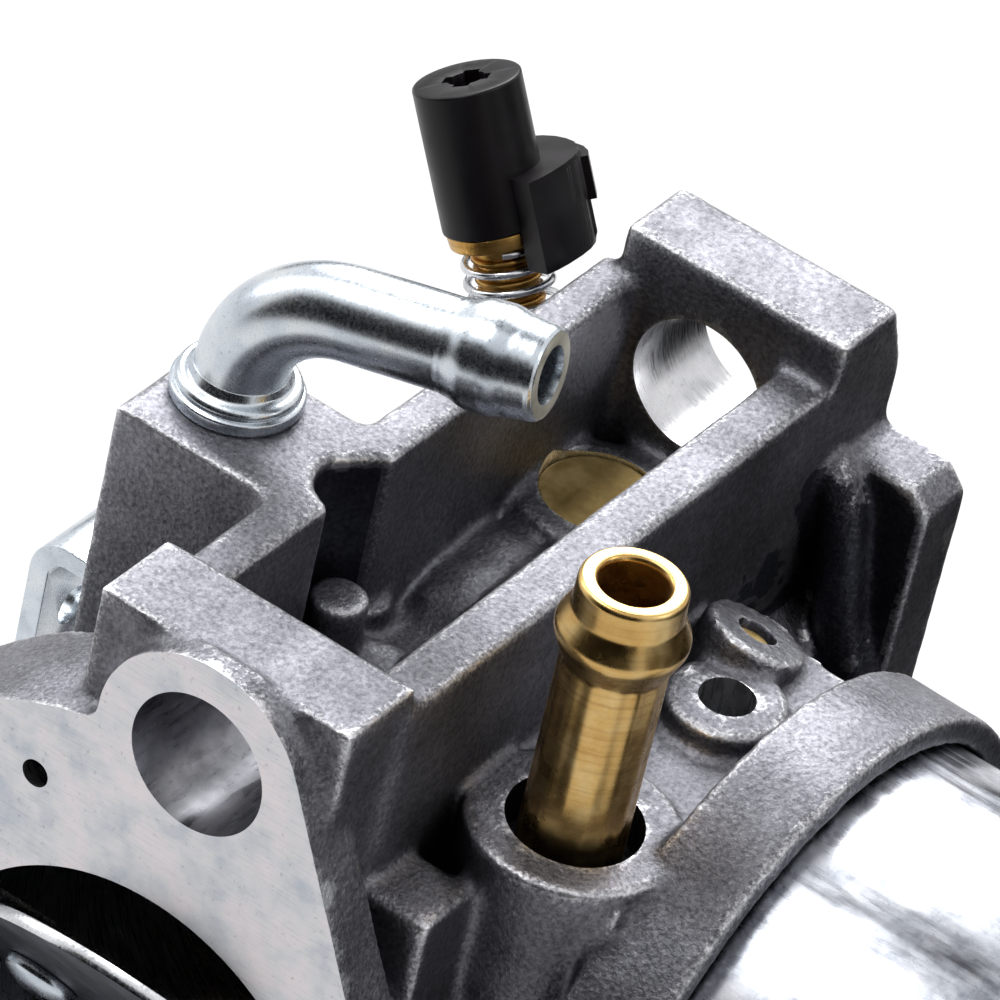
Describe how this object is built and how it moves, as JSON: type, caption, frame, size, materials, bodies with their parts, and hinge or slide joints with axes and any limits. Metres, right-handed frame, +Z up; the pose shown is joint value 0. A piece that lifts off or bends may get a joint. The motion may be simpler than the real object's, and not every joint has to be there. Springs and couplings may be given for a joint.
{
  "type": "carburetor",
  "caption": "Float-bowl carburetor with choke and throttle butterflies, bent fuel inlet, brass vent tube and two stud flanges.",
  "frame": {"origin": "centre of the bore at the engine flange face", "axes": "+X down the bore, out of the engine flange; +Y away from the float bowl; +Z up as the part lies on its side, the way both hose spigots point"},
  "size_m": [0.0616, 0.0865, 0.0774],
  "materials": {
    "cast_aluminium": "sand-textured die casting with machined faces",
    "bowl_metal": "bright drawn metal",
    "gasket_rubber": "matt black",
    "zinc_steel": "bright zinc plating",
    "fibre_washer": "red fibre",
    "float_plastic": "black plastic",
    "bright_steel": "bright",
    "brass": "turned, lightly tarnished",
    "needle_tip": "matt",
    "spring_steel": "bright wire",
    "black_plastic": "satin black",
    "plate_steel": "dark rolled sheet"
  },
  "bodies": {
    "carburetor": {"body": "cast_aluminium", "float_bowl": "bowl_metal", "bowl_gasket": "gasket_rubber", "bowl_screw": "zinc_steel", "bowl_screw_washer": "fibre_washer", "drain_screw": "zinc_steel", "drain_washer": "fibre_washer", "float_pin": "bright_steel", "needle_seat": "brass", "main_nozzle": "brass", "main_jet": "brass", "pilot_jet": "brass", "air_jet": "brass", "throttle_seal": "gasket_rubber", "throttle_spring": "spring_steel", "choke_seal": "gasket_rubber", "mixture_spring": "spring_steel", "idle_spring": "spring_steel", "fuel_elbow": "zinc_steel", "vent_spigot": "brass", "welch_plug": "brass"},
    "throttle": {"throttle_shaft": "zinc_steel", "throttle_plate": "brass", "throttle_plate_screws": "zinc_steel", "throttle_lever": "zinc_steel", "throttle_stop": "zinc_steel", "throttle_washer": "bright_steel", "throttle_nut": "zinc_steel"},
    "choke": {"choke_shaft": "zinc_steel", "choke_plate": "plate_steel", "choke_plate_screws": "zinc_steel", "choke_lever": "zinc_steel"},
    "mixture_adjuster": {"mixture_screw": "brass", "limiter_cap": "black_plastic"},
    "idle_adjuster": {"idle_screw": "zinc_steel"},
    "float_arm": {"float": "float_plastic"},
    "needle": {"float_needle": "needle_tip"}
  },
  "joints": [
    {"name": "throttle_turn", "type": "hinge", "parent": "carburetor", "child": "throttle", "pos_m": [-0.014, 0, 0], "axis": [0, -1, 0], "range_deg": [0, 75], "stiffness_Nm_per_rad": 0.01, "springref_deg": -28.65, "deforming": ["throttle_spring"]},
    {"name": "choke_turn", "type": "hinge", "parent": "carburetor", "child": "choke", "pos_m": [-0.0528, 0, 0], "axis": [0, -1, 0], "range_deg": [-37, 53]},
    {"name": "mixture_turn", "type": "hinge", "parent": "carburetor", "child": "mixture_adjuster", "pos_m": [-0.0078, 0.0125, 0.0241], "axis": [0.0308, 0.4695, 0.8824], "range_deg": [0, 90]},
    {"name": "idle_turn", "type": "hinge", "parent": "carburetor", "child": "idle_adjuster", "pos_m": [-0.0045, 0.0238, -0.01], "axis": [0, 0, 1], "range_deg": [-360, 360]},
    {"name": "float_swing", "type": "hinge", "parent": "carburetor", "child": "float_arm", "pos_m": [-0.0115, -0.0272, 0], "axis": [0, 0, 1], "range_deg": [0, 8]},
    {"name": "needle_slide", "type": "slide", "parent": "carburetor", "child": "needle", "axis": [0, -1, 0], "range_m": [0, 0.0009]}
  ],
  "couplings": [
    {"joint": "needle_slide", "follows": "float_swing", "m_per_rad": 0.006}
  ]
}
